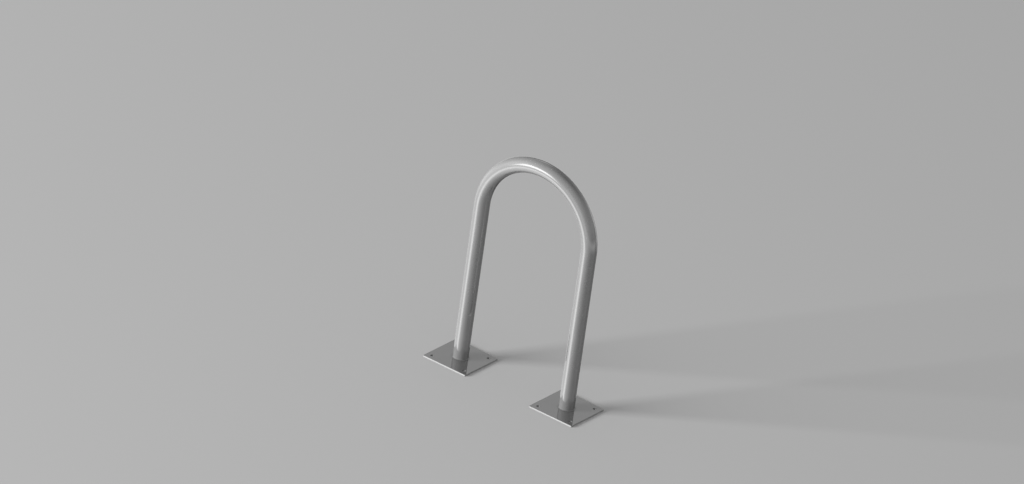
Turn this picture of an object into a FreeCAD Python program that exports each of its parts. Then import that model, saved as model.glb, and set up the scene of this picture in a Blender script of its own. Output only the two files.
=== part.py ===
import os

import FreeCAD
import Part
from FreeCAD import Vector

# Hoop bike rack: one round tube bent into a half-circle arch, its two legs
# welded onto square base plates that are bolted to the ground.
# X runs along the arch from the left leg to the right leg, Y runs through the
# arch, Z is up. The origin is on the ground midway between the legs.

# Sizes of the tube in millimetres
overall_height = 930.0
bend_radius = 250.0
tube_diameter = 60.3
tube_wall = 3.2

# Sizes of the base plates
plate_side = 200.0
plate_thickness = 6.0
plate_corner_radius = 3.0
plate_edge_break = 0.6

# Sizes of the holes in the base plates
anchor_hole_diameter = 14.0
anchor_hole_inset = 25.0
drain_hole_diameter = 20.0

# Size of the weld beads, along the plate and up the tube, and their clearance
# to the tube
weld_leg = 3.0
weld_clearance = 0.02

# Sizes that follow from the ones above
tube_radius = tube_diameter / 2
bore_radius = tube_radius - tube_wall
bend_centre_z = overall_height - tube_radius - bend_radius
plate_top_z = plate_thickness
anchor_hole_offset = plate_side / 2 - anchor_hole_inset

# The legs run into the bend without a corner, so each one stands one bend
# radius from the middle.
leg_x = {"left": -bend_radius, "right": bend_radius}

up = Vector(0, 0, 1)


def hoop_centre_line():
    """Left leg, half circle and right leg, joined without a corner."""
    left_foot = Vector(leg_x["left"], 0, plate_top_z)
    left_shoulder = Vector(leg_x["left"], 0, bend_centre_z)
    crown = Vector(0, 0, bend_centre_z + bend_radius)
    right_shoulder = Vector(leg_x["right"], 0, bend_centre_z)
    right_foot = Vector(leg_x["right"], 0, plate_top_z)
    runs = [
        Part.LineSegment(left_foot, left_shoulder),
        Part.Arc(left_shoulder, crown, right_shoulder),
        Part.LineSegment(right_shoulder, right_foot),
    ]
    return Part.Wire([run.toShape() for run in runs])


def hoop_tube():
    """The tube's ring-shaped section, swept along the centre line."""
    foot = Vector(leg_x["left"], 0, plate_top_z)
    outside = Part.Wire(Part.makeCircle(tube_radius, foot, up))
    bore = Part.Wire(Part.makeCircle(bore_radius, foot, up))
    section = Part.Face([outside, bore])
    return hoop_centre_line().makePipe(section)


def upright_edges(solid):
    """The edges that join the underside of a plate to its top."""
    return [edge for edge in solid.Edges if edge.BoundBox.ZLength > plate_thickness / 2]


def top_edges(solid):
    """The edges that lie in the top face of a plate."""
    return [edge for edge in solid.Edges if edge.BoundBox.ZMin > plate_thickness / 2]


def plate_hole(x, y, diameter):
    """A cutter for one hole right through a plate."""
    return Part.makeCylinder(diameter / 2, plate_thickness, Vector(x, y, 0), up)


def base_plate(centre_x):
    """A square plate with rounded corners, four anchor holes and a drain hole
    under the tube, its upper edges broken by a small chamfer."""
    low_corner = Vector(centre_x - plate_side / 2, -plate_side / 2, 0)
    plate = Part.makeBox(plate_side, plate_side, plate_thickness, low_corner)
    plate = plate.makeFillet(plate_corner_radius, upright_edges(plate))
    for x_sign in (-1, 1):
        for y_sign in (-1, 1):
            x = centre_x + x_sign * anchor_hole_offset
            y = y_sign * anchor_hole_offset
            plate = plate.cut(plate_hole(x, y, anchor_hole_diameter))
    plate = plate.cut(plate_hole(centre_x, 0, drain_hole_diameter))
    return plate.makeChamfer(plate_edge_break, top_edges(plate))


def weld_bead(centre_x):
    """A fillet weld round the foot of a leg, its face dressed flat."""
    root = Vector(centre_x + tube_radius + weld_clearance, 0, plate_top_z)
    toe_on_plate = root + Vector(weld_leg, 0, 0)
    toe_on_tube = root + Vector(0, 0, weld_leg)
    section = Part.Face(Part.makePolygon([root, toe_on_plate, toe_on_tube, root]))
    return section.revolve(Vector(centre_x, 0, 0), up, 360)


pieces = {"hoop_tube": hoop_tube()}
for side, centre_x in leg_x.items():
    pieces["base_plate_" + side] = base_plate(centre_x)
    pieces["weld_bead_" + side] = weld_bead(centre_x)

os.makedirs("parts", exist_ok=True)
for name, shape in pieces.items():
    shape.exportStep("parts/" + name + ".step")
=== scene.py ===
import math

import bpy
from mathutils import Matrix, Vector


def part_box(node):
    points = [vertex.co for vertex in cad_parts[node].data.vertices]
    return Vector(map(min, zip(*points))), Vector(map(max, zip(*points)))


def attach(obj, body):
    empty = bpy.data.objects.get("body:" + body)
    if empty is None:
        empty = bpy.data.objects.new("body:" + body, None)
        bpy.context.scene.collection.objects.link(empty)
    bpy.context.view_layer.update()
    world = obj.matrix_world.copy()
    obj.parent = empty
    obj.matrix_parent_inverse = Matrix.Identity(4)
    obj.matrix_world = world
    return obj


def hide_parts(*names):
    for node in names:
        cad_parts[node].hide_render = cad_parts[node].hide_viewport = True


# Hoop bike rack of polished stainless steel, in metres: a bent tube welded to
# two base plates, on a plain pale floor in soft studio light.
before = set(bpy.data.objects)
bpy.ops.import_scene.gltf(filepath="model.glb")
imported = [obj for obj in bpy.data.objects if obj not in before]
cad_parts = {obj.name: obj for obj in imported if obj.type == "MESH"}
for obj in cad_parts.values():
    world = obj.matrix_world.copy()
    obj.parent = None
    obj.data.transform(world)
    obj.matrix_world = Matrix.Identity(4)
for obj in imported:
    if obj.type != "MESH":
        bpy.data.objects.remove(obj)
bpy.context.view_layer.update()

# Sizes read from the solids: a leg stands on the middle of its plate, one bend
# radius from the middle of the hoop
plate_low, plate_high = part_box("base_plate_right")
plate_half = (plate_high.y - plate_low.y) / 2
bend_radius = (plate_low.x + plate_high.x) / 2
tube_low, tube_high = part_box("hoop_tube")
tube_radius = tube_high.x - bend_radius
bend_centre_z = tube_high.z - tube_radius - bend_radius
foot_z = tube_low.z
bead_low, bead_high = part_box("weld_bead_right")
bead_reach = (bead_high.x - bead_low.x) / 2 - tube_radius
bead_height = bead_high.z - foot_z

# Sizes that the outside doesn't show
tube_wall = 0.0032
weld_clearance = 0.00002

leg_x = {"left": -bend_radius, "right": bend_radius}
leg_length = bend_centre_z - foot_z
tube_length = 2 * leg_length + math.pi * bend_radius
up = Vector((0, 0, 1))

# The photograph's view, from the slopes of its parallel edges: its angles, its
# width at the rack, and where the point midway between the feet lies in it
view_azimuth = math.radians(33.92)
view_elevation = math.radians(27.39)
view_roll = math.radians(8.14)
picture_width = 3.793
feet_right_of_middle = 0.0052
feet_below_middle = 0.5193

# A very long lens: the photograph has no perspective
lens_mm = 600.0
sensor_mm = 36.0


def make_camera():
    """Looks at the rack from the front right, from above, leaning a little."""
    level_right = Vector((math.cos(view_azimuth), math.sin(view_azimuth), 0))
    back = Vector((
        math.sin(view_azimuth) * math.cos(view_elevation),
        -math.cos(view_azimuth) * math.cos(view_elevation),
        math.sin(view_elevation),
    ))
    level_up = back.cross(level_right)
    right = math.cos(view_roll) * level_right + math.sin(view_roll) * level_up
    top = back.cross(right)
    middle = Vector((0, 0, foot_z)) - feet_right_of_middle * right + feet_below_middle * top
    distance = picture_width * lens_mm / sensor_mm

    data = bpy.data.cameras.new("view")
    data.lens = lens_mm
    data.sensor_width = sensor_mm
    data.clip_start = 1.0
    data.clip_end = 3 * distance
    camera = bpy.data.objects.new("view", data)
    bpy.context.scene.collection.objects.link(camera)
    turn = Matrix((right, top, back)).transposed()
    camera.matrix_world = Matrix.Translation(middle + distance * back) @ turn.to_4x4()
    bpy.context.scene.camera = camera


make_camera()
bpy.context.scene.view_settings.view_transform = "Standard"


def compass(azimuth, elevation):
    """A direction by its angles in degrees: azimuth 0 is -Y, the front, and
    positive ones turn towards +X."""
    a = math.radians(azimuth)
    e = math.radians(elevation)
    return Vector((math.sin(a) * math.cos(e), -math.cos(a) * math.cos(e), math.sin(e)))


class Nodes:
    """A short way to write a node tree."""

    def __init__(self, tree):
        self.tree = tree
        tree.nodes.clear()

    def add(self, kind, **settings):
        node = self.tree.nodes.new(kind)
        for name, value in settings.items():
            setattr(node, name, value)
        return node

    def link(self, source, target):
        self.tree.links.new(source, target)

    def feed(self, socket, value):
        """Sets a socket to a number, or links it to another socket."""
        if isinstance(value, bpy.types.NodeSocket):
            self.link(value, socket)
        else:
            socket.default_value = value

    def math(self, operation, *values):
        node = self.add("ShaderNodeMath", operation=operation)
        for socket, value in zip(node.inputs, values):
            self.feed(socket, value)
        return node.outputs[0]

    def vector(self, operation, *values):
        node = self.add("ShaderNodeVectorMath", operation=operation)
        for socket, value in zip(node.inputs, values):
            self.feed(socket, value)
        return node.outputs["Value" if operation in ("DOT_PRODUCT", "LENGTH") else "Vector"]

    def split(self, vector):
        """The parts of a vector, by their letters."""
        node = self.add("ShaderNodeSeparateXYZ")
        self.link(vector, node.inputs[0])
        return node.outputs

    def total(self, start, *parts):
        """Adds up parts, given as pairs of a value and its weight."""
        for value, weight in parts:
            start = self.math("MULTIPLY_ADD", value, weight, start)
        return start

    def step(self, value, start, end, low, high):
        """Passes softly from low to high while the value goes from start to end."""
        node = self.add("ShaderNodeMapRange", interpolation_type="SMOOTHSTEP")
        inputs = {"Value": value, "From Min": start, "From Max": end, "To Min": low, "To Max": high}
        for name, number in inputs.items():
            self.feed(node.inputs[name], number)
        return node.outputs[0]

    def noise(self, place, stretch, detail=2.0, roughness=0.5):
        """Noise between 0 and 1 whose grain is one over the stretch, which is
        one number or a number for each axis."""
        if isinstance(stretch, (int, float)):
            stretch = (stretch, stretch, stretch)
        node = self.add("ShaderNodeTexNoise")
        node.inputs["Scale"].default_value = 1.0
        node.inputs["Detail"].default_value = detail
        node.inputs["Roughness"].default_value = roughness
        self.link(self.vector("MULTIPLY", place, stretch), node.inputs["Vector"])
        return node.outputs[0]


# The studio as the polished steel shows it: its level below and above the
# horizon, and how wide the horizon's blur is
low_level = 0.24
high_level = 0.34
horizon_blur = 0.2

# Round glows. Most of the light comes from the left, and a negative level
# makes a place dark
glows = (
    # Bright wall and ground on the left and in front
    {"azimuth": -57, "elevation": 8, "level": 0.62, "sharpness": 6.4},
    {"azimuth": -103, "elevation": -17, "level": 0.71, "sharpness": 11.3},
    {"azimuth": -48, "elevation": -50, "level": 0.72, "sharpness": 8.7},
    {"azimuth": 3, "elevation": -3, "level": 0.35, "sharpness": 12.3},
    # A small lamp high at the back left, which the plates show
    {"azimuth": -146, "elevation": 27, "level": 0.6, "sharpness": 120.0},
    # Paler wall straight behind and at the back right
    {"azimuth": 182, "elevation": 0, "level": 0.2, "sharpness": 32.0},
    {"azimuth": 135, "elevation": -5, "level": 0.11, "sharpness": 6.0},
    # Dark ceiling, dark wall at the back left, dark ground at the back right
    {"azimuth": 180, "elevation": 68, "level": -0.28, "sharpness": 4.8},
    {"azimuth": -150, "elevation": 3, "level": -0.17, "sharpness": 8.0},
    {"azimuth": 140, "elevation": -16, "level": -0.17, "sharpness": 16.0},
    {"azimuth": 168, "elevation": -54, "level": -0.2, "sharpness": 32.0},
)

# Bands of pale ground, each at one height below the horizon: a bright one
# before the softbox, and two where the ground ends far off
strips = (
    {"azimuth": -37, "height": -0.475, "level": 0.83, "sharpness": 27.0, "spread": 0.12},
    {"azimuth": 90, "height": -0.22, "level": 0.3, "sharpness": 1.9, "spread": 0.073},
    {"azimuth": -84, "height": -0.165, "level": 0.22, "sharpness": 18.0, "spread": 0.123},
)

# Softboxes: the main one at the front left and two dimmer, low ones at the
# back. The power says how abruptly their edges fade, and the reach, a cosine,
# keeps each of them on its own side of the room
panels = (
    {"azimuth": -32.7, "elevation": 4, "half_width": 0.214, "half_height": 0.19, "level": 2.06},
    {"azimuth": -146, "elevation": -24, "half_width": 0.26, "half_height": 0.24, "level": 0.9},
    {"azimuth": 165, "elevation": -6, "half_width": 0.2, "half_height": 0.27, "level": 0.6},
)
panel_edge_power = 4.0
panel_reach = 0.5

# Light from above, by what level ground gets of it. It is strongest at the
# zenith and fades to nothing at the horizon, so the ground gets two thirds of
# its full strength
overhead_level = 0.61
overhead_share = 2 / 3
backdrop_grey = (0.45, 0.45, 0.45, 1)

# The main softbox as a lamp, which the steel doesn't show a second time
lamp_towards = compass(-37, 14)
lamp_distance = 30.0
lamp_aim = Vector((0, 0, 0.1))
lamp_width = 11.5
lamp_height = 7.4
lamp_watts = 13800.0


def round_glow(n, direction, glow):
    """One glow that fades evenly all round."""
    towards = compass(glow["azimuth"], glow["elevation"])
    nearness = n.vector("DOT_PRODUCT", direction, towards)
    fall = n.math("EXPONENT", n.math("MULTIPLY", n.math("SUBTRACT", nearness, 1.0), glow["sharpness"]))
    return n.math("MULTIPLY", fall, glow["level"])


def strip_glow(n, direction, strip):
    """One long band at an even height."""
    level_direction = n.vector("NORMALIZE", n.vector("MULTIPLY", direction, (1, 1, 0)))
    nearness = n.vector("DOT_PRODUCT", level_direction, compass(strip["azimuth"], 0))
    across = n.math("MULTIPLY", n.math("SUBTRACT", nearness, 1.0), strip["sharpness"])
    offset = n.math("SUBTRACT", n.vector("DOT_PRODUCT", direction, up), strip["height"])
    offset = n.math("DIVIDE", offset, strip["spread"])
    along = n.math("MULTIPLY", n.math("MULTIPLY", offset, offset), -0.5)
    fall = n.math("EXPONENT", n.math("ADD", across, along))
    return n.math("MULTIPLY", fall, strip["level"])


def panel_glow(n, direction, panel):
    """One softbox, even over its face, with a blurred edge."""
    towards = compass(panel["azimuth"], panel["elevation"])
    aside = compass(panel["azimuth"] + 90, 0)
    across = n.math("DIVIDE", n.vector("DOT_PRODUCT", direction, aside), panel["half_width"])
    height = n.math("SUBTRACT", n.vector("DOT_PRODUCT", direction, up), towards.z)
    above = n.math("DIVIDE", height, panel["half_height"])
    sides = n.math("POWER", n.math("ABSOLUTE", across), panel_edge_power)
    ends = n.math("POWER", n.math("ABSOLUTE", above), panel_edge_power)
    fall = n.math("EXPONENT", n.math("MULTIPLY", n.math("ADD", sides, ends), -1.0))
    facing = n.math("GREATER_THAN", n.vector("DOT_PRODUCT", direction, towards), panel_reach)
    return n.math("MULTIPLY", n.math("MULTIPLY", fall, facing), panel["level"])


def studio_glow(n, direction):
    """How bright the studio is in each direction."""
    height = n.vector("DOT_PRODUCT", direction, up)
    total = n.step(height, -horizon_blur, horizon_blur, low_level, high_level)
    for shine, lights in ((round_glow, glows), (strip_glow, strips), (panel_glow, panels)):
        for light in lights:
            total = n.math("ADD", total, shine(n, direction, light))
    return total


def make_room():
    """The studio: soft light from above, and what the steel reflects."""
    world = bpy.data.worlds.new("studio")
    bpy.context.scene.world = world
    world.use_nodes = True
    n = Nodes(world.node_tree)
    direction = n.add("ShaderNodeTexCoord").outputs["Generated"]
    ray = n.add("ShaderNodeLightPath").outputs
    overhead = n.math("MAXIMUM", n.vector("DOT_PRODUCT", direction, up), 0.0)

    lighting = n.add("ShaderNodeBackground")
    n.link(n.math("MULTIPLY", overhead, overhead_level / overhead_share), lighting.inputs["Strength"])
    reflected = n.add("ShaderNodeBackground")
    n.link(studio_glow(n, direction), reflected.inputs["Strength"])
    backdrop = n.add("ShaderNodeBackground")
    backdrop.inputs["Color"].default_value = backdrop_grey

    result = lighting.outputs[0]
    for flag, shown in (("Is Glossy Ray", reflected), ("Is Camera Ray", backdrop)):
        mix = n.add("ShaderNodeMixShader")
        n.link(ray[flag], mix.inputs["Fac"])
        n.link(result, mix.inputs[1])
        n.link(shown.outputs[0], mix.inputs[2])
        result = mix.outputs[0]
    n.link(result, n.add("ShaderNodeOutputWorld").inputs["Surface"])


def make_softbox():
    """The key light: a wide panel low to the front left."""
    data = bpy.data.lights.new("softbox", "AREA")
    data.shape = "RECTANGLE"
    data.size = lamp_width
    data.size_y = lamp_height
    data.energy = lamp_watts
    lamp = bpy.data.objects.new("softbox", data)
    bpy.context.scene.collection.objects.link(lamp)
    lamp.location = lamp_aim + lamp_distance * lamp_towards
    lamp.rotation_mode = "QUATERNION"
    lamp.rotation_quaternion = lamp_towards.to_track_quat("Z", "Y")
    lamp.visible_camera = False
    lamp.visible_glossy = False


make_room()
make_softbox()

# The three finishes: how bright the steel is, how much of its light is
# mirrored, how blurred the mirror is, and how deep its marks are
tube_steel = {"grey": 0.505, "metallic": 0.74, "roughness": 0.06, "depth": 0.000008}
plate_steel = {"grey": 0.28, "metallic": 0.72, "roughness": 0.05, "depth": 0.000006}
weld_steel = {"grey": 0.33, "metallic": 0.83, "roughness": 0.1, "depth": 0.00005}

# Polishing lines to the metre: the tube's run round it and change a little on
# the way, the plates' run along X and those of their cut sides upright
tube_lines = 1400
tube_line_drift = 0.02
plate_lines = (30, 1500, 1500)
cut_stripes = (1200, 1200, 25)

# Where the welding has dulled the steel, as distances past the bead: full up
# to the first and gone at the second
tube_heat = (0.004, 0.014)
plate_heat = (0.003, 0.012)

# How far up the legs dust dims them
dusty_length = 0.22

# A plate's cut side reaches this far in from its rim, with a blurred border
rim_width = 0.005
rim_blur = 0.001

# The tube's map: round it from 0 to 1, and along it in metres
tube_map = "around_and_along"


def new_material(name):
    """An empty material and its node tree."""
    material = bpy.data.materials.new(name)
    material.use_nodes = True
    return material, Nodes(material.node_tree)


def finish_steel(n, grey, metallic, roughness, relief, depth):
    """The steel's shader: its grey, how clean it is, its gloss and its relief."""
    shader = n.add("ShaderNodeBsdfPrincipled")
    colour = n.add("ShaderNodeCombineColor")
    for socket in colour.inputs:
        n.feed(socket, grey)
    n.link(colour.outputs[0], shader.inputs["Base Color"])
    n.feed(shader.inputs["Metallic"], metallic)
    n.feed(shader.inputs["Roughness"], roughness)
    bump = n.add("ShaderNodeBump")
    bump.inputs["Strength"].default_value = 1.0
    bump.inputs["Distance"].default_value = depth
    n.link(relief, bump.inputs["Height"])
    n.link(bump.outputs[0], shader.inputs["Normal"])
    n.link(shader.outputs[0], n.add("ShaderNodeOutputMaterial").inputs["Surface"])
    return shader


def smudges(n, place, size):
    """Cloudy patches of the given size, mostly 0 with soft islands up to 1."""
    clouds = n.noise(place, 1 / size, detail=4.0, roughness=0.6)
    return n.step(clouds, 0.48, 0.78, 0.0, 1.0)


def hairlines(n, place, size, width):
    """Fine scratches: the thin seams where a smooth noise passes its middle."""
    swirl = n.noise(place, 1 / size, detail=1.0)
    seam = n.math("ABSOLUTE", n.math("SUBTRACT", swirl, 0.5))
    return n.step(seam, 0.0, width, 1.0, 0.0)


def heat_band(n, place, distance, heat, stretch, play):
    """Where the welding has dulled the steel, by the distance past the bead: 1
    in the full part and 0 past the end, with a ragged border."""
    ragged = n.total(distance, (n.noise(place, stretch), play))
    start, end = heat
    return n.step(ragged, start, end, 1.0, 0.0)


def tube_material():
    """Belt-polished tube: very fine lines run round it, hands and locks have
    left faint patches and hairlines, and the ends are dull from the welding."""
    material, n = new_material("polished_tube")
    place = n.add("ShaderNodeTexCoord").outputs["Object"]
    along = n.split(n.add("ShaderNodeUVMap", uv_map=tube_map).outputs[0])["Y"]
    lengthwise = n.add("ShaderNodeCombineXYZ")
    n.link(along, lengthwise.inputs["Z"])
    drift = n.vector("MULTIPLY", place, (tube_line_drift, tube_line_drift, 0.0))

    lines_place = n.vector("ADD", drift, lengthwise.outputs[0])
    lines = n.noise(lines_place, tube_lines, detail=3.0, roughness=0.6)
    patches = smudges(n, place, size=0.11)
    marks = n.math("MULTIPLY", hairlines(n, place, size=0.05, width=0.004), smudges(n, place, size=0.07))
    to_end = n.math("MINIMUM", along, n.math("SUBTRACT", tube_length, along))
    dusty = n.step(to_end, 0.0, dusty_length, 1.0, 0.0)
    past_bead = n.math("SUBTRACT", to_end, bead_height)
    welded = heat_band(n, place, past_bead, tube_heat, stretch=90, play=0.008)

    grey = n.total(tube_steel["grey"], (lines, 0.03))
    metallic = n.total(tube_steel["metallic"], (patches, -0.035), (dusty, -0.05), (welded, -0.015))
    roughness = n.total(
        tube_steel["roughness"],
        (lines, 0.05), (patches, 0.05), (marks, 0.12), (welded, 0.08),
    )
    relief = n.total(lines, (marks, -0.6))
    shader = finish_steel(n, grey, metallic, roughness, relief, tube_steel["depth"])
    shader.inputs["Anisotropic"].default_value = 0.4
    tangent = n.add("ShaderNodeTangent", direction_type="UV_MAP", uv_map=tube_map)
    n.link(tangent.outputs[0], shader.inputs["Tangent"])
    return material


def plate_material(side):
    """Mirror-polished plate: the polish runs along X, its cut sides are bright and striped,
    the walls of its holes are painted darker as painted shade in the holes, and it is dull along the
    weld."""
    material, n = new_material("polished_plate_" + side)
    place = n.add("ShaderNodeTexCoord").outputs["Object"]
    from_leg = n.vector("SUBTRACT", place, (leg_x[side], 0, foot_z))
    facing = n.split(n.add("ShaderNodeNewGeometry").outputs["Normal"])
    upright = n.step(n.math("ABSOLUTE", facing["Z"]), 0.3, 0.6, 1.0, 0.0)
    aside = n.split(n.vector("ABSOLUTE", from_leg))
    to_rim = n.math("MAXIMUM", aside["X"], aside["Y"])
    rim = plate_half - rim_width
    cut = n.math("MULTIPLY", upright, n.step(to_rim, rim - rim_blur, rim + rim_blur, 0.0, 1.0))
    bore_painted_shade = n.math("SUBTRACT", upright, cut)

    polish = n.noise(place, plate_lines, detail=3.0, roughness=0.6)
    stripes = n.noise(place, cut_stripes, detail=3.0, roughness=0.6)
    patches = smudges(n, place, size=0.06)
    marks = n.math("MULTIPLY", hairlines(n, place, size=0.03, width=0.005), smudges(n, place, size=0.05))
    distance = n.vector("LENGTH", n.vector("MULTIPLY", from_leg, (1, 1, 0)))
    past_bead = n.math("SUBTRACT", distance, tube_radius + bead_reach)
    welded = heat_band(n, place, past_bead, plate_heat, stretch=110, play=0.006)

    # The hole walls get a darker grey than the cut sides: painted shade inside the holes.
    grey = n.total(plate_steel["grey"], (polish, 0.02), (cut, 0.37), (bore_painted_shade, 0.05))
    metallic = n.total(plate_steel["metallic"], (upright, 0.12), (patches, -0.03), (welded, -0.015))
    roughness = n.total(
        plate_steel["roughness"],
        (polish, 0.05), (patches, 0.05), (marks, 0.12), (welded, 0.08), (upright, 0.15),
    )
    relief = n.total(polish, (n.math("MULTIPLY", stripes, upright), 12.0), (marks, -0.6))
    finish_steel(n, grey, metallic, roughness, relief, plate_steel["depth"])
    return material


def weld_material():
    """Dressed weld metal: duller than the tube, grained and a little uneven."""
    material, n = new_material("weld")
    place = n.add("ShaderNodeTexCoord").outputs["Object"]
    grain = n.noise(place, 700, detail=4.0, roughness=0.6)
    patches = n.noise(place, 120)
    grey = n.total(weld_steel["grey"], (patches, 0.1))
    metallic = n.total(weld_steel["metallic"], (grain, 0.06))
    roughness = n.total(weld_steel["roughness"], (patches, 0.1), (grain, 0.15))
    finish_steel(n, grey, metallic, roughness, grain, weld_steel["depth"])
    return material


# The floor, as far out as it reaches and just under the plates
floor_half = 30.0
floor_z = -0.0002
floor_colour = (0.5, 0.5, 0.5, 1)


def floor_material():
    """Plain matt grey."""
    material, n = new_material("pale_floor")
    shader = n.add("ShaderNodeBsdfDiffuse")
    shader.inputs["Color"].default_value = floor_colour
    n.link(shader.outputs[0], n.add("ShaderNodeOutputMaterial").inputs["Surface"])
    return material


def make_floor():
    """A plain floor. The steel shows the studio's pale ground instead of it."""
    signs = ((-1, -1), (1, -1), (1, 1), (-1, 1))
    corners = [(x * floor_half, y * floor_half, floor_z) for x, y in signs]
    mesh = bpy.data.meshes.new("floor")
    mesh.from_pydata(corners, [], [(0, 1, 2, 3)])
    mesh.materials.append(floor_material())
    floor = bpy.data.objects.new("floor", mesh)
    bpy.context.scene.collection.objects.link(floor)
    floor.visible_glossy = False


make_floor()

# How finely the tube is divided, and from what angle on an edge stays sharp
rings_per_leg = 48
rings_in_bend = 160
points_per_ring = 96
crease_angle = math.radians(40)


def smooth_object(name, vertices, faces, material):
    """A mesh as an object, smooth except at its sharp edges."""
    mesh = bpy.data.meshes.new(name)
    mesh.from_pydata(vertices, [], faces)
    mesh.shade_smooth()
    mesh.set_sharp_from_angle(angle=crease_angle)
    mesh.materials.append(material)
    piece = bpy.data.objects.new(name, mesh)
    bpy.context.scene.collection.objects.link(piece)
    return piece


def tube_stations():
    """Points along the tube's centre line with their direction away from the
    middle of the bend and their distance along the tube: up the left leg,
    round the bend and down the right leg."""
    stations = []
    for k in range(rings_per_leg):
        rise = leg_length * k / rings_per_leg
        stations.append((Vector((leg_x["left"], 0, foot_z + rise)), Vector((-1, 0, 0)), rise))
    for k in range(rings_in_bend + 1):
        turned = math.pi * k / rings_in_bend
        outward = Vector((-math.cos(turned), 0, math.sin(turned)))
        point = Vector((0, 0, bend_centre_z)) + bend_radius * outward
        stations.append((point, outward, leg_length + bend_radius * turned))
    for k in range(1, rings_per_leg + 1):
        drop = leg_length * k / rings_per_leg
        point = Vector((leg_x["right"], 0, bend_centre_z - drop))
        stations.append((point, Vector((1, 0, 0)), leg_length + math.pi * bend_radius + drop))
    return stations


def make_hoop():
    """The tube with its outer skin, its bore and its two ring-shaped ends."""
    stations = tube_stations()
    aside = Vector((0, 1, 0))
    vertices = []
    for radius in (tube_radius, tube_radius - tube_wall):
        for point, outward, _ in stations:
            for k in range(points_per_ring):
                turn = 2 * math.pi * k / points_per_ring
                vertices.append(point + radius * (math.cos(turn) * outward + math.sin(turn) * aside))

    faces = []
    coordinates = []

    def add_face(*corners):
        """Adds a face and its corners' places on the tube's map. A corner is
        its skin, 0 outside and 1 in the bore, its ring and its place round it."""
        face = []
        for skin, ring, k in corners:
            face.append((skin * len(stations) + ring) * points_per_ring + k % points_per_ring)
            coordinates.append((k / points_per_ring, stations[ring][2]))
        faces.append(face)

    last = len(stations) - 1
    for k in range(points_per_ring):
        for ring in range(last):
            add_face((0, ring, k), (0, ring + 1, k), (0, ring + 1, k + 1), (0, ring, k + 1))
            add_face((1, ring, k), (1, ring, k + 1), (1, ring + 1, k + 1), (1, ring + 1, k))
        add_face((0, 0, k), (0, 0, k + 1), (1, 0, k + 1), (1, 0, k))
        add_face((1, last, k), (1, last, k + 1), (0, last, k + 1), (0, last, k))

    hoop = smooth_object("polished_hoop", vertices, faces, tube_material())
    layer = hoop.data.uv_layers.new(name=tube_map)
    for loop, place in zip(layer.data, coordinates):
        loop.uv = place
    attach(hoop, "root")
    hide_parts("hoop_tube")


# The weld beads: how hollow their face is, the ripples that the dressing has
# left, how much these come and go round the leg, and how uneven the toes are
hollow = 0.00035
ripple_spacing = 0.0013
ripple_height = 0.00006
ripple_bulge = 0.7
ripple_waves = (5, 12)
toe_play = 0.00025
toe_waves = (3, 8, 19)
points_per_ripple = 6
points_across = 10


def unevenness(turn, waves):
    """Between 0 and 1, wandering round the leg in waves that don't line up."""
    total = sum(math.sin(wave * turn + wave * wave) for wave in waves)
    return (1 + total / len(waves)) / 2


def bead_profile(turn, ripples):
    """The bead's outline at one angle round the leg, as distances from the
    leg's axis and heights: across its face, then back to its root."""
    root = Vector((tube_radius + weld_clearance, foot_z))
    reach = bead_reach - weld_clearance - toe_play * unevenness(turn, toe_waves)
    height = bead_height - toe_play * unevenness(-turn, toe_waves)
    toe_on_plate = root + Vector((reach, 0))
    toe_on_tube = root + Vector((0, height))
    outwards = Vector((1, 1)).normalized()
    outline = []
    for k in range(points_across + 1):
        share = k / points_across
        belly = 4 * share * (1 - share)
        phase = turn * ripples - 2 * math.pi * ripple_bulge * belly
        ripple = ripple_height * unevenness(turn, ripple_waves) * (math.cos(phase) - 1)
        outline.append(toe_on_plate.lerp(toe_on_tube, share) + outwards * belly * (ripple - hollow))
    outline.append(root)
    return outline


def make_bead(side, material):
    """A fillet weld round the foot of one leg, hollow, with fine ripples."""
    ripples = round(2 * math.pi * tube_radius / ripple_spacing)
    steps = ripples * points_per_ripple
    vertices = []
    for k in range(steps):
        turn = 2 * math.pi * k / steps
        for distance, height in bead_profile(turn, ripples):
            vertices.append((leg_x[side] + distance * math.cos(turn), distance * math.sin(turn), height))
    count = len(vertices) // steps
    faces = []
    for k in range(steps):
        here = k * count
        after = (k + 1) % steps * count
        for m in range(count):
            after_m = (m + 1) % count
            faces.append((here + m, after + m, after + after_m, here + after_m))
    bead = smooth_object("rippled_weld_" + side, vertices, faces, material)
    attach(bead, "root")
    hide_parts("weld_bead_" + side)


make_hoop()
weld = weld_material()
for side in leg_x:
    make_bead(side, weld)
    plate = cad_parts["base_plate_" + side]
    plate.data.materials.clear()
    plate.data.materials.append(plate_material(side))
